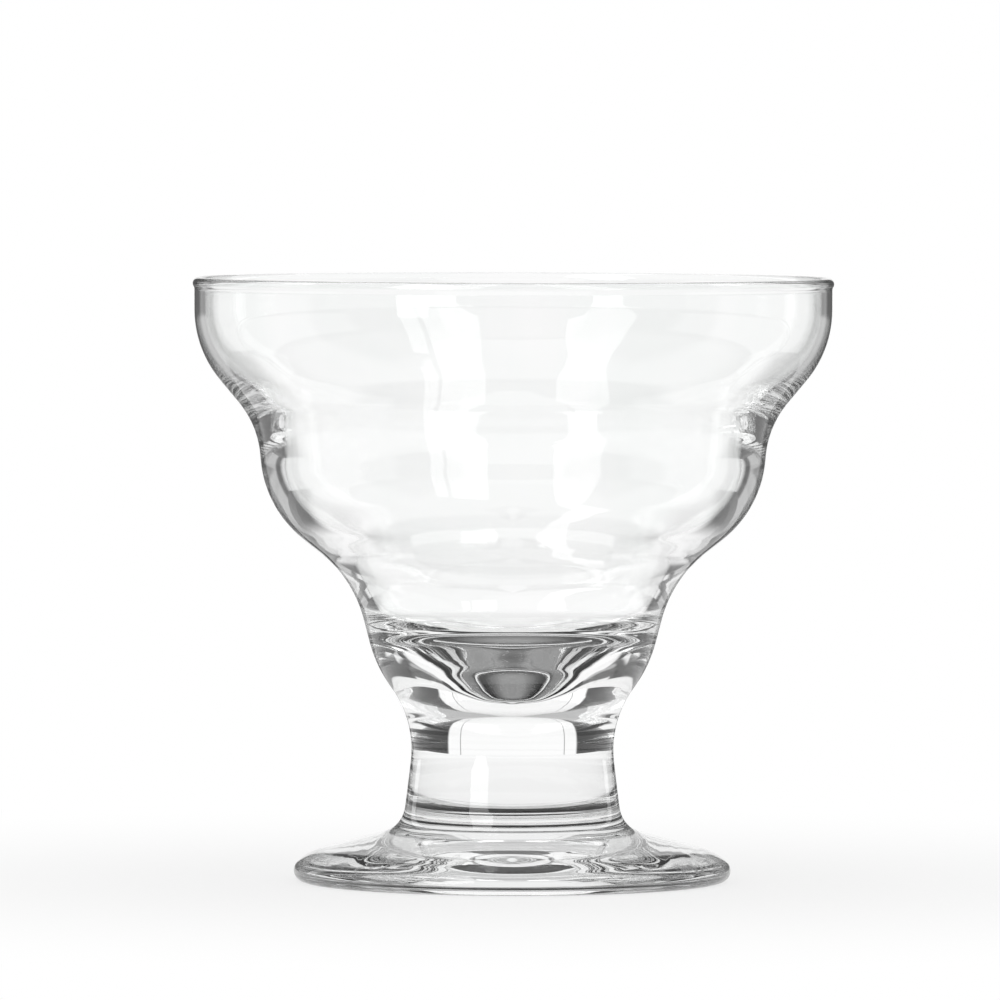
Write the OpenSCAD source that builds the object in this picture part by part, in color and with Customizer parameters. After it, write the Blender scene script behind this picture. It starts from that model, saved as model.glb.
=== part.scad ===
// Parfait glass: a wide bowl in three waved tiers over a thick base, on a
// short solid stem and a flared solid foot. All of it is clear glass. The
// bowl, the stem and the foot are fused to each other at flat joint faces.
// Lengths are millimetres. The origin is the middle of the foot's base, with
// Z up along the axis of the glass.

/* [Rim] */

// Outer diameter over the rolled rim bead
rim_d = 104; // [98:0.5:112]
// Diameter of the rolled bead in section
bead_d = 2; // [1.9:0.1:2.8]
// Distance that the bead stands out from the outer wall
bead_lip = 0.3; // [0.1:0.05:0.6]
// Wall thickness just under the bead
rim_wall = 1.7; // [1.3:0.05:1.9]

/* [Bowl outside] */

// Height of the upright band, from the upper shoulder to the top of the bead
band_h = 11.7; // [9:0.1:16]
// Height of the upper flare, from the upper nip to the upper shoulder
upper_flare_h = 12.5; // [11:0.1:15]
// Diameter at the upper nip, where the top tier meets the middle one
upper_nip_d = 82.6; // [80:0.2:86]
// Height of the middle tier, from its shoulder to the upper nip
middle_h = 13.3; // [12:0.1:16]
// Diameter at the shoulder of the middle tier
middle_d = 80.8; // [76:0.2:82]
// Height of the lower flare, from the lower nip to the middle shoulder
lower_flare_h = 11.4; // [10:0.1:14]
// Diameter at the lower nip, where the middle tier meets the base
lower_nip_d = 51.8; // [49:0.2:55]
// Height of the thick base, from the neck to the lower nip
base_h = 14.2; // [12:0.1:18]
// Diameter at the neck, where the base turns in to the stem
neck_d = 44.4; // [42:0.2:47]

/* [Bowl inside] */

// Wall thickness at the upper nip
upper_nip_wall = 3.5; // [2.8:0.1:4.4]
// Wall thickness at the middle shoulder
middle_wall = 3.8; // [3:0.1:4.4]
// Diameter at the mouth of the well, where the inner wall turns down to the floor
well_mouth_d = 50.6; // [47:0.2:52]
// Diameter at the corner of the well
well_d = 41; // [36:0.2:43]
// Depth of the well's corner below its mouth
well_h = 12.2; // [10:0.1:12.6]
// Fall of the floor from the well's corner to the edge of the cup
floor_fall = 4.2; // [3:0.1:5]
// Diameter of the cup in the middle of the floor
cup_d = 16; // [13:0.2:20]
// Depth of the cup below its edge
cup_h = 3.6; // [2.4:0.1:4.2]
// Diameter of the round bottom of the cup
cup_base_d = 6; // [4:0.2:9]
// Depth of that round bottom
cup_base_h = 0.6; // [0.3:0.1:0.9]

/* [Stem] */

// Height of the shoulder between the neck and the waist
shoulder_h = 8.9; // [8:0.1:11]
// Diameter at which the shoulder's leg meets the stem's leg
waist_d = 31.4; // [29:0.2:34]
// Height of the stem, from the foot to the waist
stem_h = 17.2; // [15:0.1:30]
// Diameter of the stem where it meets the foot
stem_foot_d = 35.6; // [34:0.2:38]

/* [Foot] */

// Outer diameter of the foot
foot_d = 71; // [66:0.5:76]
// Height at which the stem's leg meets the top of the foot
foot_h = 8.8; // [8.2:0.1:11]
// Distance of the brow, where the top turns down, from the outer edge
brow_inset = 3; // [2.6:0.1:4.5]
// Height of that brow
brow_h = 4.9; // [4.5:0.1:5.6]
// Height at which the brow's leg meets the outer edge
edge_h = 2.8; // [2.6:0.1:3.4]
// Width of the flat ring that the glass stands on
ring_w = 2.4; // [1.5:0.1:5]
// Width of the slope from the ring up to the roof of the hollow
hollow_slope_w = 13; // [8:0.5:20]
// Height of the hollow under the middle of the foot
hollow_h = 2; // [1:0.1:3]

/* [Fused joints] */

// Height of the joint of bowl and stem above the waist
bowl_joint_rise = 4; // [2:0.1:6]
// Height of the joint of stem and foot above the foot's corner
foot_joint_rise = 1; // [0.4:0.1:2]

/* [Fillets] */

// Fillet of the upper shoulder, outside
upper_fillet = 18; // [12:0.5:19]
// Fillet of the upper nip, outside
upper_nip_fillet = 15; // [10:0.5:16]
// Fillet of the middle shoulder, outside
middle_fillet = 18.5; // [12:0.5:19]
// Fillet of the lower nip, outside
lower_nip_fillet = 20; // [14:0.5:22]
// Fillet of the neck
neck_fillet = 21.5; // [14:0.5:22]
// Fillet of the waist
waist_fillet = 17; // [12:0.5:18]
// Fillet between stem and foot
foot_fillet = 4.8; // [3:0.1:6]
// Fillet of the foot's brow
brow_fillet = 12; // [8:0.5:14]
// Fillet at the top of the foot's edge
edge_fillet = 1.7; // [1:0.1:2]
// Fillet at the bottom of the foot's edge
base_fillet = 1.7; // [1:0.1:2]
// Fillet between the flat ring and the hollow
ring_fillet = 12; // [4:0.5:20]
// Fillet round the roof of the hollow
hollow_fillet = 60; // [30:1:80]
// Fillet of the upper shoulder, inside
inner_upper_fillet = 15.5; // [10:0.5:18]
// Fillet of the upper nip, inside
inner_nip_fillet = 16; // [10:0.5:17]
// Fillet of the middle shoulder, inside
inner_middle_fillet = 14; // [9:0.5:15]
// Fillet at the mouth of the well
well_mouth_fillet = 12; // [8:0.5:14]
// Fillet at the corner of the well
well_fillet = 9; // [6:0.5:10]
// Fillet at the edge of the cup
cup_fillet = 5; // [3:0.5:7]
// Fillet round the bottom of the cup
cup_base_fillet = 4.5; // [3:0.5:6]

/* [Hidden] */

glass_color = [0.86, 0.91, 0.92, 0.45];

// Facets of a full turn, and the widest angle that one straight step rounds
$fn = 128;
arc_step_angle = 6;

// How far a cutting band reaches past the glass on each side
overrun = 5;

// How much higher the inner corners lie than the outer ones beside them
upper_rise = 0.3;
nip_rise = 0.1;
middle_rise = 1.4;
well_mouth_rise = 4.1;

// Heights of the outline's corners above the table, from the foot upwards
waist_z = foot_h + stem_h;
neck_z = waist_z + shoulder_h;
lower_nip_z = neck_z + base_h;
middle_z = lower_nip_z + lower_flare_h;
upper_nip_z = middle_z + middle_h;
upper_z = upper_nip_z + upper_flare_h;
glass_h = upper_z + band_h;

// The walls under the bead, and the bead's centre
wall_r = rim_d / 2 - bead_lip;
inner_r = wall_r - rim_wall;
bead_r = bead_d / 2;
bead_centre = [rim_d / 2 - bead_r, glass_h - bead_r];

// Angles below the bead's middle at which it meets the outer and the inner wall
bead_out_angle = acos((wall_r - bead_centre.x) / bead_r);
bead_in_angle = acos(min(1, (bead_centre.x - inner_r) / bead_r));
bead_sweep = 180 + bead_out_angle + bead_in_angle;
bead_steps = ceil(bead_sweep / arc_step_angle / 2);

// Corners of the inner wall, each set from the outer corner beside it
inner_nip_r = upper_nip_d / 2 - upper_nip_wall;
inner_middle_r = middle_d / 2 - middle_wall;
well_mouth_z = lower_nip_z + well_mouth_rise;
well_z = well_mouth_z - well_h;
cup_z = well_z - floor_fall;
cup_base_z = cup_z - cup_h;
floor_z = cup_base_z - cup_base_h;

// The foot's edge, and the inner edge of the ring that it stands on
foot_r = foot_d / 2;
hollow_r = foot_r - base_fillet - ring_w;

// Joint faces
bowl_joint_z = waist_z + bowl_joint_rise;
foot_joint_z = foot_h + foot_joint_rise;

// The outside from the bead down to the table: radius, height, fillet
outer_corners = [
    [wall_r, bead_centre.y - bead_r * sin(bead_out_angle), 0],
    [wall_r, upper_z, upper_fillet],
    [upper_nip_d / 2, upper_nip_z, upper_nip_fillet],
    [middle_d / 2, middle_z, middle_fillet],
    [lower_nip_d / 2, lower_nip_z, lower_nip_fillet],
    [neck_d / 2, neck_z, neck_fillet],
    [waist_d / 2, waist_z, waist_fillet],
    [stem_foot_d / 2, foot_h, foot_fillet],
    [foot_r - brow_inset, brow_h, brow_fillet],
    [foot_r, edge_h, edge_fillet],
    [foot_r, 0, base_fillet],
    [hollow_r, 0, ring_fillet],
    [hollow_r - hollow_slope_w, hollow_h, hollow_fillet],
    [0, hollow_h, 0]
];

// The inside from the middle of the floor up to the bead
inner_corners = [
    [0, floor_z, 0],
    [cup_base_d / 2, cup_base_z, cup_base_fillet],
    [cup_d / 2, cup_z, cup_fillet],
    [well_d / 2, well_z, well_fillet],
    [well_mouth_d / 2, well_mouth_z, well_mouth_fillet],
    [inner_middle_r, middle_z + middle_rise, inner_middle_fillet],
    [inner_nip_r, upper_nip_z + nip_rise, inner_nip_fillet],
    [inner_r, upper_z + upper_rise, inner_upper_fillet],
    [inner_r, bead_centre.y - bead_r * sin(bead_in_angle), 0]
];

// Place of corner i in the plane of the section
function place(corners, i) = [corners[i].x, corners[i].y];

// Unit vector along a leg
function unit(v) = v / norm(v);

// Length of the leg that ends at corner i
function leg(corners, i) = norm(place(corners, i) - place(corners, i - 1));

// Angle by which the outline turns at corner i
function turn(corners, i) =
    let(
        arrives = unit(place(corners, i) - place(corners, i - 1)),
        leaves = unit(place(corners, i + 1) - place(corners, i))
    )
    acos(min(1, max(-1, arrives * leaves)));

// Length that the fillet of corner i takes from each of its two legs
function taken(corners, i) =
    i <= 0 || i >= len(corners) - 1 ? 0 : corners[i].z * tan(turn(corners, i) / 2);

// Fillet of corner i, limited to what its two legs can share with their neighbours
function fillet(corners, i) =
    let(
        before = leg(corners, i) / (taken(corners, i - 1) + taken(corners, i)),
        after = leg(corners, i + 1) / (taken(corners, i) + taken(corners, i + 1))
    )
    corners[i].z * min(1, before, after);

// Points of the arc that rounds corner i
function corner_arc(corners, i) =
    let(
        to_before = unit(place(corners, i - 1) - place(corners, i)),
        to_after = unit(place(corners, i + 1) - place(corners, i)),
        bend = turn(corners, i),
        radius = fillet(corners, i),
        inwards = unit(to_before + to_after),
        centre = place(corners, i) + inwards * radius / cos(bend / 2),
        first = place(corners, i) + to_before * radius * tan(bend / 2) - centre,
        side = sign(to_after.x * to_before.y - to_after.y * to_before.x),
        start = atan2(first.y, first.x),
        steps = ceil(bend / arc_step_angle)
    )
    [for (k = [0 : steps]) centre + radius * [
        cos(start + side * bend * k / steps),
        sin(start + side * bend * k / steps)
    ]];

// A chain of corners with its arcs worked out
function rounded(corners) = [
    for (i = [0 : len(corners) - 1])
        each (corners[i].z > 0 ? corner_arc(corners, i) : [place(corners, i)])
];

// The bead between the walls, from the inner one over the top to the outer one
bead_arc = [
    for (k = [1 : bead_steps - 1])
        let(a = 180 + bead_in_angle - bead_sweep * k / bead_steps)
        bead_centre + bead_r * [cos(a), sin(a)]
];

// Half section of the whole glass, from the axis outwards
module glass_section() {
    polygon(concat(rounded(outer_corners), rounded(inner_corners), bead_arc));
}

// Solid of the glass between two levels
module glass_between(low_z, high_z) {
    rotate_extrude() {
        intersection() {
            glass_section();
            translate([0, low_z]) {
                square([max(rim_d / 2, foot_r) + overrun, high_z - low_z]);
            }
        }
    }
}

// Waved bowl with its rolled rim bead and thick base
module bowl() {
    color(glass_color) glass_between(bowl_joint_z, glass_h + overrun);
}

// Short solid stem, drawn in to its waist
module stem() {
    color(glass_color) glass_between(foot_joint_z, bowl_joint_z);
}

// Flared foot with a flat ring to stand on and a shallow hollow inside it
module foot() {
    color(glass_color) glass_between(-overrun, foot_joint_z);
}

bowl();
stem();
foot();
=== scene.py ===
# %% [markdown]
# # A parfait glass in Blender
#
# The object is a pressed dessert glass: a wide bowl in three waved tiers over a thick
# base, a short solid stem, and a flared solid foot. Everything on it is clear glass, so
# the picture is made by three things only: the outline, the way light bends in solid
# glass, and what the glass can see around it.
#
# The CAD model comes in first, as a fixed frame. Its bowl, stem and foot have the right
# size but flat facets, which would show as stripes in glass. So each of them gets a
# smooth skin here, on the same outline and in the same place.

import math

import bpy
import numpy as np
from mathutils import Matrix, Vector


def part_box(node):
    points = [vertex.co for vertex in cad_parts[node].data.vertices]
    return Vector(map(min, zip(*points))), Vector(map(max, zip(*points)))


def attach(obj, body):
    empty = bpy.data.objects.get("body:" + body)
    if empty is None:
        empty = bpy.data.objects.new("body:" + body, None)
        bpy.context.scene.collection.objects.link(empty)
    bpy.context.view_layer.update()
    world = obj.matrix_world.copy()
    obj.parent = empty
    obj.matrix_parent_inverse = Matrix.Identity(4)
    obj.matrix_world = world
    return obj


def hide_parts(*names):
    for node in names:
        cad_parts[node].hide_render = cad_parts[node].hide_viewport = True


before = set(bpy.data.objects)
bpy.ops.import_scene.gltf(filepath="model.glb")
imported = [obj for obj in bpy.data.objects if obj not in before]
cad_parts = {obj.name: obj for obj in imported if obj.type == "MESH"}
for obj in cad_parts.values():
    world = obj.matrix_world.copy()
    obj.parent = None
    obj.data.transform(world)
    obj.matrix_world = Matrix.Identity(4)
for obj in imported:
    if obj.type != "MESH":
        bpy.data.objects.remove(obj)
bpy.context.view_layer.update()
mm = 0.001

glass_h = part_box("bowl")[1].z
rim_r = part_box("bowl")[1].x
foot_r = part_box("foot")[1].x
bowl_joint_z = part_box("stem")[1].z
foot_joint_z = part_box("stem")[0].z
print("height %.1f mm, rim %.1f mm, foot %.1f mm" % (glass_h / mm, 2 * rim_r / mm, 2 * foot_r / mm))
print("fused joints at %.1f mm and %.1f mm" % (foot_joint_z / mm, bowl_joint_z / mm))

# %% [markdown]
# ## The camera
#
# A product photographer stands well back and uses a long lens, so that the rim stays an
# almost flat line. In the photograph the rim is seen from about one degree above and the
# foot from about four, which puts the lens 1.8 m away and a little higher than the rim.

# %% Set up the camera
camera_place = Vector((0.0, -1.8, 0.129))
aim_point = Vector((-0.0021, 0.0, 0.0619))
lens_mm = 400.0
level_turn = math.radians(0.12)

camera_data = bpy.data.cameras.new("photo_camera")
camera_data.lens = lens_mm
camera_data.clip_start = 0.05
camera_data.clip_end = 50.0
camera = bpy.data.objects.new("photo_camera", camera_data)
bpy.context.scene.collection.objects.link(camera)
sight = (aim_point - camera_place).to_track_quat("-Z", "Y").to_matrix()
camera.location = camera_place
camera.rotation_euler = (sight @ Matrix.Rotation(level_turn, 3, "Z")).to_euler()
bpy.context.scene.camera = camera
print("camera looks down by %.2f degrees" % (90.0 - math.degrees(camera.rotation_euler.x)))

# %% [markdown]
# ## The outline
#
# Seen in section, the glass is a chain of straight legs whose corners are rounded. The
# corners are where a mould maker would put the pencil: two shoulders and two nips on the
# bowl, the neck, the waist, and the brow and edge of the foot. Each has a radius, a height
# and a fillet. The bowl's inside has corners of its own, because the glass is thin at the
# rim and thick in the base.
#
# A curve object could hold this outline too, but its points would be moved by hand.
# Worked out like this, each size stands in one place.

# %% Corners of the outline
wall_r = 51.7
inner_wall_r = 50.0
bead_r = 1.0

bead_centre_r = rim_r / mm - bead_r
bead_centre_z = glass_h / mm - bead_r
bead_dip = math.acos((wall_r - bead_centre_r) / bead_r)
bead_foot_z = bead_centre_z - bead_r * math.sin(bead_dip)

# radius, height and fillet in millimetres, from the middle of the underside to the bead
outside_corners = [
    (0.0, 2.0, 0.0),  # middle of the hollow under the foot
    (18.4, 2.0, 60.0),  # where the hollow starts to fall
    (31.4, 0.0, 12.0),  # inside of the flat ring
    (foot_r / mm, 0.0, 1.7),  # outside of the flat ring
    (foot_r / mm, 2.8, 1.7),  # top of the foot's edge
    (32.5, 4.9, 12.0),  # brow of the foot
    (17.8, 8.8, 4.8),  # where the stem rises
    (15.7, 26.0, 17.0),  # waist
    (22.2, 34.9, 21.5),  # neck
    (25.9, 49.1, 20.0),  # lower nip
    (40.4, 60.5, 18.5),  # middle tier
    (41.3, 73.8, 15.0),  # upper nip
    (wall_r, 86.3, 18.0),  # upper tier
    (wall_r, bead_foot_z, 0.0),  # under the bead
]

# the same from the bead down to the middle of the floor
inside_corners = [
    (inner_wall_r, bead_centre_z, 0.0),  # under the bead
    (inner_wall_r, 86.6, 15.5),  # upper tier
    (37.8, 73.9, 16.0),  # upper nip
    (36.6, 61.9, 14.0),  # middle tier
    (25.3, 53.2, 12.0),  # mouth of the well
    (20.5, 41.0, 9.0),  # floor of the well
    (8.0, 36.8, 5.0),  # mouth of the cup
    (3.0, 33.2, 4.5),  # floor of the cup
    (0.0, 32.6, 0.0),  # middle of the floor
]
print("%d corners outside, %d inside" % (len(outside_corners), len(inside_corners)))

# %% [markdown]
# ## Rounded corners
#
# A mould's corner is an arc that touches both of its legs. A Bevel modifier could round
# the corners of a finished mesh, but here each fillet is known exactly, so the arcs are
# worked out on the outline, as very fine points that the rings are taken from later.

# %% Round the corners
fine_step = 0.02


def leg_points(start, end):
    """Points on a straight line from start towards end, a fine step apart, without the end."""
    count = max(int(np.linalg.norm(end - start) / fine_step), 1)
    return start + (end - start) * np.arange(count)[:, None] / count


def rounded_chain(corners):
    """Straight legs joined by arcs.

    An arc's centre lies on the bisector of its two legs, as far from the corner as the
    fillet divided by the sine of half the angle between them, so the arc touches both.
    """
    corners = np.array(corners)
    here = corners[0, :2]
    parts = []
    for before, corner, after in zip(corners[:-2, :2], corners[1:-1], corners[2:, :2]):
        place, fillet = corner[:2], corner[2]
        to_before = (before - place) / np.linalg.norm(before - place)
        to_after = (after - place) / np.linalg.norm(after - place)
        half_angle = math.acos(np.clip(to_before @ to_after, -1.0, 1.0)) / 2
        bisector = (to_before + to_after) / np.linalg.norm(to_before + to_after)
        centre = place + bisector * fillet / math.sin(half_angle)
        first = place + to_before * fillet / math.tan(half_angle)
        parts.append(leg_points(here, first))
        sweep = math.pi - 2 * half_angle
        side = np.sign(to_after[0] * to_before[1] - to_after[1] * to_before[0])
        angle = side * np.linspace(0.0, sweep, max(int(fillet * sweep / fine_step), 3))[:-1]
        arm = first - centre
        turned_r = arm[0] * np.cos(angle) - arm[1] * np.sin(angle)
        turned_z = arm[0] * np.sin(angle) + arm[1] * np.cos(angle)
        parts.append(centre + np.stack([turned_r, turned_z], axis=1))
        here = place + to_after * fillet / math.tan(half_angle)
    parts.append(leg_points(here, corners[-1, :2]))
    return np.vstack(parts)


def bead_points():
    """The rolled bead: a circle's arc from the outer wall over the top to the inner wall."""
    angle = np.linspace(-bead_dip, math.pi, int(bead_r * (math.pi + bead_dip) / fine_step))[:-1]
    centre = np.array([bead_centre_r, bead_centre_z])
    return centre + bead_r * np.stack([np.cos(angle), np.sin(angle)], axis=1)


floor_centre = np.array([inside_corners[-1][:2]])
raw_outline = np.vstack([
    rounded_chain(outside_corners), bead_points(), rounded_chain(inside_corners), floor_centre,
])
print("%d fine points on the outline" % len(raw_outline))

# %% [markdown]
# ## Fire-polished curves
#
# Hot glass settles, so a pressed glass has no place where a straight suddenly becomes an
# arc. Light bent by solid glass shows such a place as a hard line. A running average with
# a bell-shaped weight along the outline takes those lines out and moves nothing by more
# than a tenth of a millimetre. It is narrower at the rim bead, which is small.

# %% Soften the outline
wall_settle = 0.55
bead_settle = 0.2
bead_reach = 2.5


def arc_lengths(path):
    """Distance travelled along the path at each of its points."""
    return np.concatenate([[0.0], np.cumsum(np.linalg.norm(np.diff(path, axis=0), axis=1))])


def evenly(path, step):
    """The same path with its points an even step apart."""
    travelled = arc_lengths(path)
    stops = np.linspace(0.0, travelled[-1], int(travelled[-1] / step))
    return np.stack([np.interp(stops, travelled, path[:, i]) for i in (0, 1)], axis=1)


def settled(path, width):
    """Each point becomes the bell-weighted mean of its neighbours; both ends stay put."""
    reach = int(4 * width / fine_step)
    bell = np.exp(-0.5 * (np.arange(-reach, reach + 1) * fine_step / width) ** 2)
    padded = np.vstack([2 * path[0] - path[reach:0:-1], path, 2 * path[-1] - path[-2:-reach - 2:-1]])
    return np.stack([np.convolve(padded[:, i], bell / bell.sum(), "valid") for i in (0, 1)], axis=1)


even_outline = evenly(raw_outline, fine_step)
near_bead = np.clip((even_outline[:, 1] - (bead_foot_z - bead_reach)) / bead_reach, 0.0, 1.0)
near_bead = (near_bead**2 * (3 - 2 * near_bead))[:, None]
bead_part = settled(even_outline, bead_settle) * near_bead
outline = settled(even_outline, wall_settle) * (1 - near_bead) + bead_part
outline[:, 1] = np.maximum(outline[:, 1], 0.0)
print("softened outline is off by at most %.3f mm" % np.abs(outline - even_outline).max())

# %% [markdown]
# ## Rings and columns
#
# The skin is a grid: rings up the outline, columns round the axis. Rings are laid closer
# together where the outline turns, so that the bead and the foot's edge are as smooth as
# the walls. The two fused joints get a ring each, at exactly the height of the CAD joint.

# %% Lay the rings
ring_gap = 0.78
ring_turn = math.radians(5.2)
bend_window = 51
near_edge = 0.5
columns = 240

travelled = arc_lengths(outline)
slope = np.gradient(outline, travelled, axis=0)
heading = np.unwrap(np.arctan2(slope[:, 1], slope[:, 0]))
bend = np.abs(np.gradient(heading, travelled))
bend = np.convolve(bend, np.full(bend_window, 1 / bend_window), "same")
effort = np.concatenate([[0.0], np.cumsum(np.diff(travelled) * (1 / ring_gap + bend[1:] / ring_turn))])


def stops_between(start, end):
    """Places along the outline from start to end that share the effort evenly."""
    low, high = np.interp([start, end], travelled, effort)
    return np.interp(np.linspace(low, high, max(int(high - low), 2)), effort, travelled)


def place_at_height(height, lowest):
    """Where the outside of the glass, past the point lowest, first reaches a height."""
    later = np.nonzero((travelled > lowest) & (outline[:, 1] >= height))[0][0]
    share = (height - outline[later - 1, 1]) / (outline[later, 1] - outline[later - 1, 1])
    return travelled[later - 1] + share * (travelled[later] - travelled[later - 1])


past_ring = travelled[np.argmax(outline[:, 0] >= foot_r / mm - near_edge)]
foot_joint = place_at_height(foot_joint_z / mm, past_ring)
bowl_joint = place_at_height(bowl_joint_z / mm, past_ring)
stretches = {
    "foot": stops_between(0.0, foot_joint),
    "stem": stops_between(foot_joint, bowl_joint),
    "bowl": stops_between(bowl_joint, travelled[-1]),
}
for name, stops in stretches.items():
    print("%s: %d rings of %d columns" % (name, len(stops), columns))

# %% [markdown]
# ## Waves in the surface
#
# Pressed glass is never quite even. Where it met the cool mould it chilled in faint rings,
# and the walls have slow swells that make a reflection waver. Together they move the
# surface by less than a hundredth of a millimetre, far below what a hand can feel, but the
# thick glass of the base magnifies them.
#
# A bump map could fake them. Moving the surface and working out its true normals is just
# as easy on a grid, and it bends the light in the right way.

# %% Describe the waves
wave_seed = 7
swell_count = 7
chill_count = 12
swell_size = 0.0003
chill_size = 0.0006
chill_top, chill_fade = 47.0, 3.0
axis_fade = 6.0
table_fade = 0.6
rng = np.random.default_rng(wave_seed)
swells = np.stack([
    rng.uniform(14.0, 34.0, swell_count),
    rng.integers(1, 6, swell_count),
    rng.uniform(0.0, 2 * math.pi, swell_count),
], axis=1)
chills = np.stack([
    rng.uniform(1.5, 4.5, chill_count),
    rng.integers(-3, 4, chill_count),
    rng.uniform(0.0, 2 * math.pi, chill_count),
], axis=1)


def wave_height(stops, around):
    """Height of the waves in millimetres, over the outline's length and the angle round.

    Each wave is a cosine of the length divided by the wave's own length, plus a whole
    number of turns round the axis. The chill rings fade out above the base. All waves
    fade towards the axis and on the flat ring, which stays true.
    """
    radius = np.interp(stops, travelled, outline[:, 0])
    height = np.interp(stops, travelled, outline[:, 1])
    total = 0.0
    for length, turns, shift in swells:
        total = total + swell_size * np.cos(2 * math.pi * stops / length + turns * around + shift)
    low_part = 1 / (1 + np.exp((height - chill_top) / chill_fade))
    for length, turns, shift in chills:
        ring = np.cos(2 * math.pi * stops / length + turns * around + shift)
        total = total + chill_size * low_part * ring
    off_axis = 1 - np.exp(-((radius / axis_fade) ** 2))
    off_table = 1 - np.exp(-((height / table_fade) ** 2))
    return total * off_axis * off_table


print("%d swells, %d chill rings" % (swell_count, chill_count))

# %% [markdown]
# ## Places and normals
#
# Blender can smooth a mesh's normals by itself, but it takes them from the flat faces, and
# in glass each small mistake bends light the wrong way. Here the normals come from the
# slope of the outline and of the waves, so they are as true as the formula.

# %% Work out places and normals
angles = np.arange(columns) * 2 * math.pi / columns
nudge = 0.01


def skin_grid(stops):
    """Places and outward normals for rings at the given stops.

    A place is the outline's point, moved along its normal by the height of the waves and
    turned round the axis. The normal leans against the waves' slope in both directions.
    """
    radius, height, along_r, along_z = [
        np.interp(stops, travelled, values)[:, None]
        for values in (outline[:, 0], outline[:, 1], slope[:, 0], slope[:, 1])
    ]
    size = np.hypot(along_r, along_z)
    along_r, along_z = along_r / size, along_z / size
    stops = stops[:, None]
    lift = wave_height(stops, angles)
    rise = (wave_height(stops + nudge, angles) - wave_height(stops - nudge, angles)) / (2 * nudge)
    spin = (wave_height(stops, angles + nudge) - wave_height(stops, angles - nudge)) / (2 * nudge)
    spin = spin / np.maximum(radius, 1.0)
    ring_r = radius + lift * along_z
    ring_z = height - lift * along_r
    out_r = along_z - rise * along_r
    out_z = -along_r - rise * along_z
    cosine, sine = np.cos(angles), np.sin(angles)
    places = np.stack([ring_r * cosine, ring_r * sine, ring_z + 0 * angles], axis=2) * mm
    out_x = out_r * cosine + spin * sine
    out_y = out_r * sine - spin * cosine
    normals = np.stack([out_x, out_y, out_z + 0 * angles], axis=2)
    return places, normals / np.linalg.norm(normals, axis=2, keepdims=True)


# %% [markdown]
# ## From grid to piece
#
# Each piece is closed: rings, plus a fan of triangles to the axis at both ends. Where two
# pieces are fused, the fan is a flat joint face. The normals are handed over as they were
# worked out, so the light crosses from stem to foot as if there were no seam at all.

# %% Build a closed piece
def turned_piece(name, stops, flat_start, flat_end):
    """A closed mesh from a grid of rings, with a fan at each end.

    flat_start and flat_end say whether that end is a flat joint face, which gets the
    second material and a normal straight along the axis.
    """
    places, normals = skin_grid(stops)
    if not flat_start:
        places, normals = places[1:], normals[1:]
    if not flat_end:
        places, normals = places[:-1], normals[:-1]
    rings = len(places)
    ends = np.array([[0.0, 0.0, places[0, :, 2].mean()], [0.0, 0.0, places[-1, :, 2].mean()]])
    if not flat_start:
        ends[0, 2] = outline[0, 1] * mm
    if not flat_end:
        ends[1, 2] = outline[-1, 1] * mm
    points = np.vstack([places.reshape(-1, 3), ends])
    column = np.arange(columns)
    following = (column + 1) % columns
    ring = np.arange(rings - 1)[:, None] * columns
    above = ring + columns
    quads = np.stack([ring + column, ring + following, above + following, above + column], axis=2)
    quads = quads.reshape(-1, 4)
    first_fan = np.stack([np.full(columns, rings * columns), following, column], axis=1)
    last_ring = (rings - 1) * columns
    last_middle = np.full(columns, rings * columns + 1)
    last_fan = np.stack([last_ring + column, last_ring + following, last_middle], axis=1)
    down, up = (0.0, 0.0, -1.0), (0.0, 0.0, 1.0)
    point_normals = np.vstack([normals.reshape(-1, 3), down, up])
    quad_normals = point_normals[quads].reshape(-1, 3)
    first_normals = point_normals[first_fan].reshape(-1, 3)
    last_normals = point_normals[last_fan].reshape(-1, 3)
    if flat_start:
        first_normals[:] = down
    if flat_end:
        last_normals[:] = up
    mesh = bpy.data.meshes.new(name)
    mesh.from_pydata(points, [], quads.tolist() + first_fan.tolist() + last_fan.tolist())
    mesh.polygons.foreach_set("use_smooth", np.ones(len(mesh.polygons), bool))
    slots = np.zeros(len(mesh.polygons), int)
    slots[len(quads):len(quads) + columns] = int(flat_start)
    slots[len(quads) + columns:] = int(flat_end)
    mesh.materials.append(clear_glass)
    mesh.materials.append(fused_joint)
    mesh.polygons.foreach_set("material_index", slots)
    mesh.normals_split_custom_set(np.vstack([quad_normals, first_normals, last_normals]))
    piece = bpy.data.objects.new(name, mesh)
    bpy.context.scene.collection.objects.link(piece)
    corners = points[np.vstack([quads[:, :3], quads[:, [0, 2, 3]], first_fan, last_fan])]
    volume = np.einsum("ij,ij->i", corners[:, 0], np.cross(corners[:, 1], corners[:, 2])).sum() / 6
    print("%s: %d triangles, %.2f cubic centimetres" % (name, len(corners), volume * 1e6))
    return piece


# %% [markdown]
# ## Clear glass
#
# Principled BSDF with full transmission and the index of soda-lime glass. Two things keep
# it from looking like perfect crystal: cords, faint streaks of slightly denser tint that
# pressed glass carries from the gather, and scuffs on the flat ring, which is dragged over
# tables. The waves of the polish are in the mesh, not here.

# %% Helpers for materials
def add(nodes, kind, spot, **values):
    """A node of that kind at that spot, with its inputs or settings filled in."""
    made = nodes.new(kind)
    made.location = spot
    for key, value in values.items():
        if key in made.inputs:
            made.inputs[key].default_value = value
        else:
            setattr(made, key, value)
    return made


def new_material(name):
    """An empty node material with its output."""
    made = bpy.data.materials.new(name)
    made.use_nodes = True
    made.node_tree.nodes.clear()
    output = add(made.node_tree.nodes, "ShaderNodeOutputMaterial", (900, 0))
    return made, made.node_tree.nodes, made.node_tree.links, output


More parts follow.
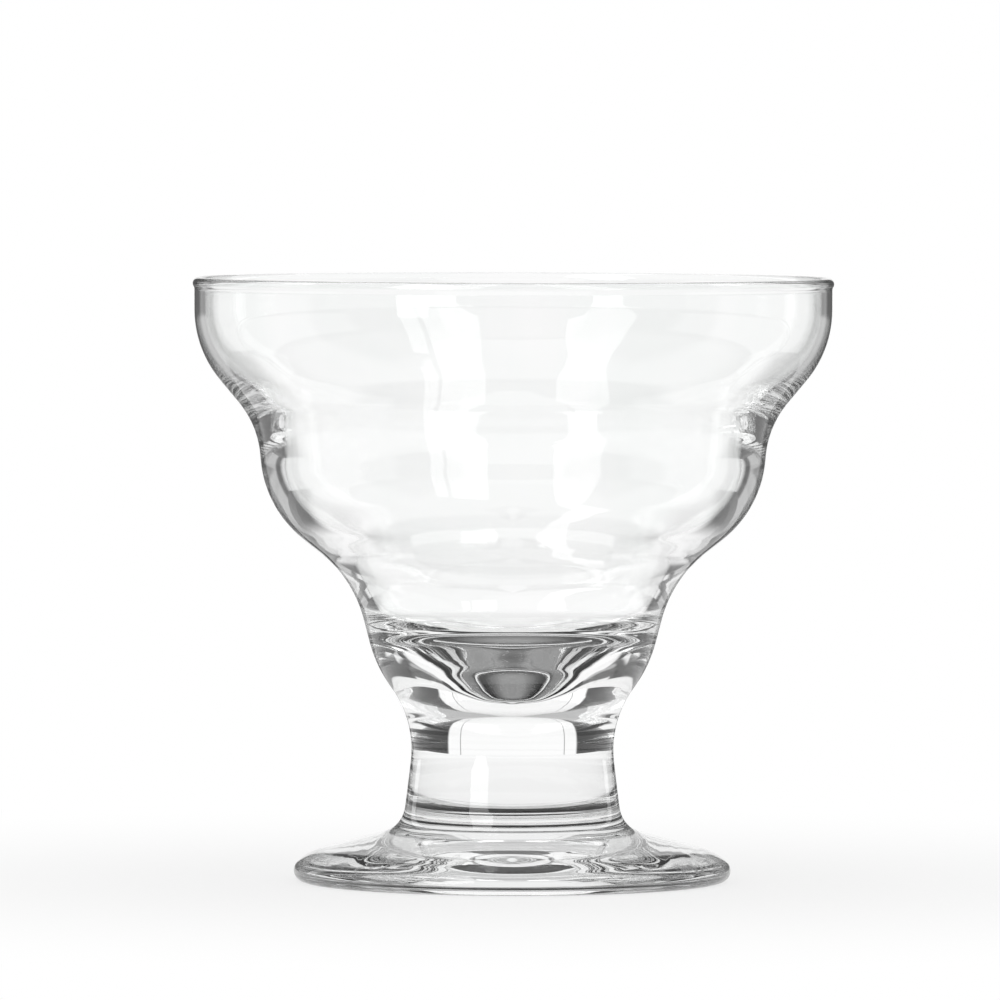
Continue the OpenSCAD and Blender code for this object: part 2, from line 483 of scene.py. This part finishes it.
# %% Make the glass
glass_index = 1.52
cord_stretch = (60.0, 60.0, 14.0)
cord_color = (0.975, 0.985, 0.98, 1.0)

clear_glass, nodes, links, output = new_material("clear_glass")
shader = add(nodes, "ShaderNodeBsdfPrincipled", (560, 0), IOR=glass_index, Roughness=0.0)
shader.inputs["Transmission Weight"].default_value = 1.0
links.new(shader.outputs["BSDF"], output.inputs["Surface"])
on_piece = add(nodes, "ShaderNodeTexCoord", (-900, 0))

cord_place = add(nodes, "ShaderNodeMapping", (-700, 200), Scale=cord_stretch)
cord_noise = add(nodes, "ShaderNodeTexNoise", (-500, 200), Scale=1.0, Detail=3.0, Distortion=0.6)
cord_tint = add(nodes, "ShaderNodeValToRGB", (-300, 200))
cord_tint.color_ramp.elements[0].position = 0.35
cord_tint.color_ramp.elements[0].color = cord_color
cord_tint.color_ramp.elements[1].position = 0.65
cord_tint.color_ramp.elements[1].color = (1.0, 1.0, 1.0, 1.0)
links.new(on_piece.outputs["Object"], cord_place.inputs["Vector"])
links.new(cord_place.outputs["Vector"], cord_noise.inputs["Vector"])
links.new(cord_noise.outputs["Fac"], cord_tint.inputs["Fac"])
links.new(cord_tint.outputs["Color"], shader.inputs["Base Color"])
print("cords: noise stretched by %s" % (cord_stretch,))

# %% [markdown]
# ## Scuffs under the foot
#
# Only the flat ring touches the table, so a fine patchy noise makes the glass rough there
# and fades out just above. Height comes from the object coordinates.

# %% Scuff the flat ring
scuff_height = 0.0006
scuff_roughness = 0.3

height_part = add(nodes, "ShaderNodeSeparateXYZ", (-700, -120))
on_table = add(nodes, "ShaderNodeMapRange", (-500, -120))
on_table.inputs["From Min"].default_value = scuff_height
on_table.inputs["From Max"].default_value = 0.0
scuff_noise = add(nodes, "ShaderNodeTexNoise", (-500, -380), Scale=900.0, Detail=4.0)
scuff_patch = add(nodes, "ShaderNodeMapRange", (-300, -380))
scuff_patch.inputs["From Min"].default_value = 0.42
scuff_patch.inputs["From Max"].default_value = 0.62
scuffs = add(nodes, "ShaderNodeMath", (-100, -220), operation="MULTIPLY")
scuff_rough = add(nodes, "ShaderNodeMath", (80, -220), operation="MULTIPLY")
scuff_rough.inputs[1].default_value = scuff_roughness
links.new(on_piece.outputs["Object"], height_part.inputs["Vector"])
links.new(on_piece.outputs["Object"], scuff_noise.inputs["Vector"])
links.new(height_part.outputs["Z"], on_table.inputs["Value"])
links.new(scuff_noise.outputs["Fac"], scuff_patch.inputs["Value"])
links.new(on_table.outputs["Result"], scuffs.inputs[0])
links.new(scuff_patch.outputs["Result"], scuffs.inputs[1])
links.new(scuffs.outputs["Value"], scuff_rough.inputs[0])
links.new(scuff_rough.outputs["Value"], shader.inputs["Roughness"])
print("scuffs: below %.1f mm, roughness up to %.1f" % (scuff_height / mm, scuff_roughness))

# %% [markdown]
# ## The fused joint
#
# Where the bowl meets the stem and the stem meets the foot, the real glass has melted
# together and nothing is left to see. The pieces are still closed solids, so each has a
# flat face there. That face gets a material with no alpha, and light goes through it
# without bending.

# %% Make the joint's material
fused_joint, nodes, links, output = new_material("fused_joint")
shader = add(nodes, "ShaderNodeBsdfPrincipled", (560, 0), IOR=glass_index, Roughness=0.0, Alpha=0.0)
links.new(shader.outputs["BSDF"], output.inputs["Surface"])
print("materials: %s" % ", ".join(m.name for m in bpy.data.materials))

# %% [markdown]
# ## The three pieces
#
# Each skin takes the place of one CAD node and rides on the one rigid body. The bowl
# starts at a joint and ends at the middle of its floor, the stem has a joint at each end,
# and the foot starts at the middle of its underside.

# %% Make the three pieces
foot_skin = turned_piece("foot_skin", stretches["foot"], False, True)
stem_skin = turned_piece("stem_skin", stretches["stem"], True, True)
bowl_skin = turned_piece("bowl_skin", stretches["bowl"], True, False)
for piece, node in ((foot_skin, "foot"), (stem_skin, "stem"), (bowl_skin, "bowl")):
    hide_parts(node)
    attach(piece, "root")

# %% [markdown]
# ## Arithmetic in nodes
#
# The table and the studio are worked out by arithmetic on directions and on the path
# that a ray has taken. These helpers add the nodes to whatever tree is being made.

# %% Helpers for arithmetic
def maths(operation, first, second=None, third=None):
    """A Math node on values or sockets, giving back its output."""
    made = nodes.new("ShaderNodeMath")
    made.operation = operation
    for index, value in enumerate((first, second, third)):
        if value is None:
            continue
        if isinstance(value, (int, float)):
            made.inputs[index].default_value = value
        else:
            links.new(value, made.inputs[index])
    return made.outputs["Value"]


def times(*factors):
    """The product of two or more values or sockets."""
    product = factors[0]
    for factor in factors[1:]:
        product = maths("MULTIPLY", product, factor)
    return product


def most(*values):
    """The greatest of two or more values or sockets."""
    greatest = values[0]
    for value in values[1:]:
        greatest = maths("MAXIMUM", greatest, value)
    return greatest


def rest_of(share):
    """What a share leaves of one."""
    return maths("SUBTRACT", 1.0, share)


def blend(first, second, share):
    """The first value where the share is nothing, and the second where it is one."""
    return maths("ADD", times(first, rest_of(share)), times(second, share))


# %% Helpers for soft edges
def step_down(value, edge, half_width):
    """One below the edge and nothing above it, with a soft change between."""
    made = nodes.new("ShaderNodeMapRange")
    made.interpolation_type = "SMOOTHSTEP"
    links.new(value, made.inputs["Value"])
    made.inputs["From Min"].default_value = edge + half_width
    made.inputs["From Max"].default_value = edge - half_width
    return made.outputs["Result"]


def step_up(value, edge, half_width):
    """One above the edge and nothing below it, with a soft change between."""
    return rest_of(step_down(value, edge, half_width))


def between(value, low, high, half_width):
    """One between two edges, each of them a number or a socket."""
    above_low = step_up(maths("SUBTRACT", value, low), 0.0, half_width)
    below_high = step_down(maths("SUBTRACT", value, high), 0.0, half_width)
    return times(above_low, below_high)


def traced(value, points):
    """A straight-edged curve through points of input and output, both as given."""
    first_in, last_in = points[0][0], points[-1][0]
    high = max(out for _, out in points)
    curve = nodes.new("ShaderNodeFloatCurve")
    line = curve.mapping.curves[0]
    places = [((given - first_in) / (last_in - first_in), out / high) for given, out in points]
    line.points[0].location = places[0]
    line.points[-1].location = places[-1]
    for place in places[1:-1]:
        line.points.new(*place)
    for point in line.points:
        point.handle_type = "VECTOR"
    curve.mapping.update()
    scaled = maths("DIVIDE", maths("SUBTRACT", value, first_in), last_in - first_in)
    links.new(maths("MINIMUM", maths("MAXIMUM", scaled, 0.0), 1.0), curve.inputs["Value"])
    return times(curve.outputs["Value"], high)


# %% [markdown]
# ## What a ray has been through
#
# A photographer of glass may join several exposures, each lit for one kind of reflection.
# Here each kind of light finds its own version of the table and the studio. The Light Path
# node tells them apart, as it counts a ray's mirrorings and its passages through a surface.
# A mirrored ray that has made one to three passages was most likely mirrored inside a wall
# or a solid part. One that has made none was mirrored by the outside and never went in.

# %% Read the history
def ray_history(path):
    """Masks from a Light Path node: mirrored at all, mirrored inside a wall, not yet in glass."""
    mirrored = maths("MINIMUM", path.outputs["Glossy Depth"], 1.0)
    in_wall = maths("COMPARE", path.outputs["Transmission Depth"], 2.0, 1.1)
    outside = maths("COMPARE", path.outputs["Transmission Depth"], 0.0, 0.5)
    return mirrored, in_wall, outside


# %% [markdown]
# ## The table
#
# The glass stands on a white table top, 41 cm square. A photographer lights such a table
# from below, so that it melts into the white background and keeps only a faint shadow.
# The material mixes a glow of its own with the light that falls on it, and more glow
# further out. For light thrown inside the glass, that glow also carries a painted shadow,
# a painted caustic and painted lanes of light.

# %% Build the table
table_half = 0.205
table_cells = 24

steps = np.linspace(-table_half, table_half, table_cells + 1)
table_x, table_y = np.meshgrid(steps, steps, indexing="ij")
table_points = np.stack([table_x, table_y, 0 * table_x], axis=2).reshape(-1, 3)
corner = (np.arange(table_cells)[:, None] * (table_cells + 1) + np.arange(table_cells)).ravel()
table_faces = np.stack([corner, corner + table_cells + 1, corner + table_cells + 2, corner + 1], axis=1)
table_mesh = bpy.data.meshes.new("table_top")
table_mesh.from_pydata(table_points, [], table_faces.tolist())
table = bpy.data.objects.new("table_top", table_mesh)
bpy.context.scene.collection.objects.link(table)
print("table top is %.0f mm square" % (2 * table_half / mm))

# %% [markdown]
# ## The table's light
#
# Mirrored light finds the table as bright as the room. For light thrown down inside a wall
# the table's glow is painted light and shade: a painted shadow, nearly black, under the
# foot, with a painted caustic, a spot of focused light, in the middle, and further out
# painted light in four bright lanes that lead to the backdrops, with painted shade in the
# dim corners between them.

# %% Make the white table
room_level = 0.85
outer_level = 0.75
table_white = (0.93, 0.93, 0.93, 1.0)
near_glow = 0.76
full_glow_at, full_glow_width = 0.115, 0.075
# painted shadow under the foot and a painted caustic spot in its middle, for light thrown inside a wall
painted_shadow_level = 0.015
painted_caustic_level = 0.3
painted_caustic_reach, painted_caustic_width = 0.012, 0.009
shade_reach, shade_width = 0.06, 0.006
# painted light in four lanes towards the backdrops, painted shade in the corners between them
lane_half, lane_width = 0.075, 0.02
painted_shade_corner_level = 0.1

white_table, nodes, links, output = new_material("white_table")
lit = add(nodes, "ShaderNodeBsdfDiffuse", (300, 120), Color=table_white)
glow = add(nodes, "ShaderNodeEmission", (300, -60), Color=(1.0, 1.0, 1.0, 1.0))
mixed = add(nodes, "ShaderNodeMixShader", (620, 60))
path = add(nodes, "ShaderNodeLightPath", (-600, -300))
on_top = add(nodes, "ShaderNodeTexCoord", (-900, 100))
from_middle = add(nodes, "ShaderNodeVectorMath", (-700, 100), operation="LENGTH")
top_parts = add(nodes, "ShaderNodeSeparateXYZ", (-700, 300))
links.new(on_top.outputs["Object"], from_middle.inputs[0])
links.new(on_top.outputs["Object"], top_parts.inputs["Vector"])
away = from_middle.outputs["Value"]
off_lane = maths("MINIMUM", *[maths("ABSOLUTE", top_parts.outputs[axis]) for axis in ("X", "Y")])

mirrored, in_wall, outside = ray_history(path)
seen = most(path.outputs["Is Camera Ray"], path.outputs["Is Glossy Ray"], path.outputs["Is Transmission Ray"])
glow_share = blend(near_glow, 1.0, step_up(away, full_glow_at, full_glow_width))
# painted shadow under the foot, with a painted caustic spot of focused light in the middle
painted_shadow_and_caustic = blend(painted_shadow_level, painted_caustic_level, step_down(away, painted_caustic_reach, painted_caustic_width))
# painted light in four lanes towards the backdrops, painted shade in the dim corners
painted_light_lanes = blend(painted_shade_corner_level, 1.0, step_down(off_lane, lane_half, lane_width))
thrown_level = blend(painted_shadow_and_caustic, painted_light_lanes, step_up(away, shade_reach, shade_width))
mirror_level = blend(room_level, outer_level, outside)
links.new(blend(1.0, blend(mirror_level, thrown_level, in_wall), mirrored), glow.inputs["Strength"])
links.new(most(times(glow_share, seen), mirrored), mixed.inputs["Fac"])
links.new(lit.outputs["BSDF"], mixed.inputs[1])
links.new(glow.outputs["Emission"], mixed.inputs[2])
links.new(mixed.outputs["Shader"], output.inputs["Surface"])
table.data.materials.append(white_table)
print("table glow: %.2f by the foot, full at %.0f mm" % (near_glow, (full_glow_at + full_glow_width) / mm))

# %% [markdown]
# ## The studio
#
# Clear glass has no colour of its own, so it is drawn by what stands round it. A glass
# photographer sets a white backdrop behind it, just wide enough to fill the picture, and
# leaves the rest dark.
#
# Cards and lamps could stand in the scene, but small bright things seen through curved
# glass make noise, and a card behind the camera would show in a view from the back. Here
# the world is painted by direction instead, and all its light is soft.

# %% Make the world
world = bpy.data.worlds.new("studio")
bpy.context.scene.world = world
world.use_nodes = True
nodes = world.node_tree.nodes
links = world.node_tree.links
nodes.clear()
output = add(nodes, "ShaderNodeOutputWorld", (1600, 0))
background = add(nodes, "ShaderNodeBackground", (1400, 0), Color=(1.0, 1.0, 1.0, 1.0))
links.new(background.outputs["Background"], output.inputs["Surface"])

# %% [markdown]
# ## Directions
#
# Everything in the studio is placed by angles in degrees: the elevation above the table,
# the turn away from the backdrop behind the glass, and, for the lights in front, their
# rise over the front of the table and their share to the side.

# %% Work out directions
degrees = 180 / math.pi
direction = add(nodes, "ShaderNodeTexCoord", (-1600, 0))
parts = add(nodes, "ShaderNodeSeparateXYZ", (-1400, 0))
links.new(direction.outputs["Generated"], parts.inputs["Vector"])
across, along, upward = parts.outputs
azimuth = times(maths("ARCTAN2", along, across), degrees)
elevation = times(maths("ARCSINE", upward), degrees)
half_turned = maths("FLOORED_MODULO", maths("ADD", azimuth, 90.0), 180.0)
off_side = maths("ABSOLUTE", maths("SUBTRACT", half_turned, 90.0))
off_backdrop = maths("SUBTRACT", 90.0, off_side)
off_forward = times(maths("ARCTAN2", maths("ABSOLUTE", across), along), degrees)
rise = times(maths("ARCTAN2", upward, times(along, -1.0)), degrees)
upright_part = maths("SQRT", maths("ADD", times(along, along), times(upward, upward)))
sideways = maths("DIVIDE", across, maths("MAXIMUM", upright_part, 0.001))
path = add(nodes, "ShaderNodeLightPath", (-600, -400))
mirrored, in_wall, outside = ray_history(path)

# %% [markdown]
# ## Straight through
#
# Light that passes through the glass without being mirrored finds the backdrop and stays
# white. Light that the thick base or the stem bends far to the side misses it, finds the
# dark, and draws the dark shapes. The backdrop is made of sheets, and the thin line where
# two of them overlap shows in the stem. A second backdrop stands in front, for the view
# from the back, with a low narrow one at each side, and the ground far below is pale.

# %% Paint the backdrops
backdrop_half, backdrop_edge = 29.0, 0.8
side_half = 8.0
side_top, side_top_width = 14.0, 2.0
backdrop_top, backdrop_top_width = 52.0, 6.0
seam_off, seam_half, seam_edge = 22.0, 0.25, 0.12
seam_depth = 0.6
ground_top, ground_edge = -13.2, 0.8
through_dark = 0.03

side_part = step_down(off_side, side_half, backdrop_edge)
side_part = times(side_part, step_down(elevation, side_top, side_top_width))
on_backdrop = most(step_down(off_backdrop, backdrop_half, backdrop_edge), side_part)
off_seam = maths("ABSOLUTE", maths("SUBTRACT", off_backdrop, seam_off))
on_seam = step_down(off_seam, seam_half, seam_edge)
below_top = step_down(elevation, backdrop_top, backdrop_top_width)
white_part = times(on_backdrop, below_top, rest_of(times(on_seam, seam_depth)))
pale_ground = step_down(elevation, ground_top, ground_edge)
through_level = blend(through_dark, 1.0, most(white_part, pale_ground))
print("backdrop reaches %.0f degrees to each side and %.0f up" % (backdrop_half, backdrop_top))

# %% [markdown]
# ## Mirrored light
#
# The room is a little darker than the backdrop, so that what a wall mirrors is a shade
# darker than what shows through it. The outside of the glass finds a ceiling darker still.
# Just beside the middle of the backdrop is a dark gap, and light mirrored near the outline
# finds it: this is the dark line round the glass.

# %% Paint the room
gap_level = 0.15
gap_start, gap_start_edge = 7.0, 1.0
gap_end, gap_end_edge = 24.0, 3.0
ceiling_level = 0.35
horizon_edge = 0.5

outer_part = blend(outer_level, ceiling_level, step_up(elevation, 0.0, horizon_edge))
wide_level = blend(room_level, outer_part, outside)
room_part = blend(gap_level, wide_level, step_up(off_forward, gap_end, gap_end_edge))
room_part = most(room_part, step_down(off_forward, gap_start, gap_start_edge))
print("room %.2f, gap %.2f" % (room_level, gap_level))

# %% [markdown]
# ## Light thrown inside a wall
#
# Inside thick glass, light is mirrored over and over and leaves far from where it came
# in. Where it goes was measured by giving each direction its own colour in a trial
# render. The top of the foot throws light low and sideways and is white, so a low white
# ring stands there. The sides of the base throw it lower still, or high and backwards,
# and find the dark. The waved wall throws it just off the backdrop's middle, into a grey
# slot.

# %% Paint the thrown light
ring_low, ring_high, ring_edge = 8.0, 32.0, 1.2
ring_end, ring_end_edge = 112.0, 4.0
middle_end, middle_end_edge = 60.0, 5.0
middle_low, middle_low_edge = 5.0, 1.5
overhead_low, overhead_edge, overhead_level = 36.0, 6.0, 0.6
thrown_white_level, thrown_dark = 0.9, 0.03
slot_start, slot_end, slot_edge = 8.0, 31.0, 2.0
slot_split, slot_split_edge = -3.0, 0.8
slot_below, slot_above = 0.5, 0.13
verge_start, verge_end, verge_edge = 38.0, 100.0, 3.0
verge_top, verge_top_edge, verge_level = -0.6, 0.4, 0.85

low_ring = between(elevation, ring_low, ring_high, ring_edge)
low_ring = times(low_ring, step_down(off_forward, ring_end, ring_end_edge))
middle_part = times(white_part, step_down(off_backdrop, middle_end, middle_end_edge))
middle_part = times(middle_part, step_up(elevation, middle_low, middle_low_edge))
overhead = times(step_up(elevation, overhead_low, overhead_edge), overhead_level)
slot_level = blend(slot_below, slot_above, step_up(elevation, slot_split, slot_split_edge))
slot = times(between(off_forward, slot_start, slot_end, slot_edge), slot_level)
verge = between(off_forward, verge_start, verge_end, verge_edge)
verge = times(verge, step_down(elevation, verge_top, verge_top_edge))
thrown_white = times(most(low_ring, middle_part, overhead), thrown_white_level)
thrown_level = most(thrown_white, slot, times(verge, verge_level), thrown_dark)
print("low ring from %.0f to %.0f degrees up" % (ring_low, ring_high))

# %% [markdown]
# ## The soft lights
#
# A wide and a slim softbox stand in front on the right, and a tall strip on the left. The
# bowl is hollow and shows them on the other side, as a spoon does: the two boxes are the
# panes of light in its left half. The stem is round and shows the strip on the strip's own
# side, as a tall streak.
#
# Each is a band between two edges: the curves give how far to the side the edge lies at
# each rise, so a box is wide near the table and narrow overhead.

# %% Hang the softboxes
softbox_level = 3.2
box_edge = 0.012
box_low, box_rise_edge = -6.0, 1.5
right_top, left_top = 77.0, 118.0

wide_box = between(
    sideways,
    traced(rise, [(-10.0, 0.42), (0.0, 0.40), (14.0, 0.23), (90.0, 0.12)]),
    traced(rise, [(-10.0, 0.76), (0.0, 0.76), (14.0, 0.70), (90.0, 0.30)]),
    box_edge,
)
slim_box = between(
    sideways,
    traced(rise, [(-10.0, 0.83), (0.0, 0.82), (14.0, 0.74), (90.0, 0.33)]),
    traced(rise, [(-10.0, 1.00), (0.0, 1.00), (14.0, 0.96), (90.0, 0.40)]),
    box_edge,
)
strip_box = between(
    times(sideways, -1.0),
    traced(rise, [(-10.0, 0.60), (0.0, 0.59), (14.0, 0.47), (18.0, 0.36), (92.0, 0.22), (130.0, 0.22)]),
    traced(rise, [(-10.0, 0.90), (0.0, 0.90), (14.0, 1.06), (18.0, 1.06), (92.0, 0.35), (130.0, 0.35)]),
    box_edge,
)
right_boxes = times(most(wide_box, slim_box), between(rise, box_low, right_top, box_rise_edge))
right_boxes = times(right_boxes, rest_of(outside))
left_box = times(strip_box, between(rise, box_low, left_top, box_rise_edge))
print("softboxes at level %.1f" % softbox_level)

# %% [markdown]
# ## The strips behind
#
# Two narrow strips stand behind the glass, just outside the backdrop. With them taken out
# in a trial render, what went was a faint bright line that follows the waves of the bowl
# near its outline, and one along each side of the stem.

# %% Stand the strips behind
back_strip_level = 1.6
right_strip_start, right_strip_end = 46.0, 55.0
left_strip_start, left_strip_end = 42.0, 52.0
strip_edge = 0.6
side_edge = 0.01
lowest_rise, lowest_rise_edge = -5.0, 1.0

right_strip = between(off_forward, right_strip_start, right_strip_end, strip_edge)
right_strip = times(right_strip, step_up(across, 0.0, side_edge))
left_strip = between(off_forward, left_strip_start, left_strip_end, strip_edge)
left_strip = times(left_strip, step_down(across, 0.0, side_edge))
back_strips = times(most(right_strip, left_strip), below_top)
lights = most(times(most(right_boxes, left_box), softbox_level), times(back_strips, back_strip_level))
hidden_below = times(outside, step_down(rise, lowest_rise, lowest_rise_edge))
lights = times(lights, rest_of(most(in_wall, hidden_below)))
print("strips at level %.1f" % back_strip_level)

# %% [markdown]
# ## Everything together
#
# The camera sees plain white past the glass. What comes by way of the glass finds the
# painted studio. The table is lit by a plain, even sky, so its shadow is soft.

# %% Join the levels
sky_level = 0.8
glass_level = blend(through_level, blend(most(room_part, lights), thrown_level, in_wall), mirrored)
by_glass = most(path.outputs["Is Transmission Ray"], path.outputs["Is Glossy Ray"])
level = blend(blend(sky_level, glass_level, by_glass), 1.0, path.outputs["Is Camera Ray"])
links.new(level, background.inputs["Strength"])
print("studio has %d nodes" % len(nodes))

# %% [markdown]
# ## Light paths
#
# Light caught in the thick base and in the nips of the wall is mirrored dozens of times
# before it leaves. With the usual dozen bounces it would be cut off, and black patches
# would show there, so the limits are raised.

# %% Let the light travel
cycles = bpy.context.scene.cycles
cycles.max_bounces = 96
cycles.glossy_bounces = 96
cycles.transmission_bounces = 64
cycles.transparent_max_bounces = 32
bpy.context.scene.view_settings.view_transform = "Standard"
print("up to %d bounces" % cycles.max_bounces)
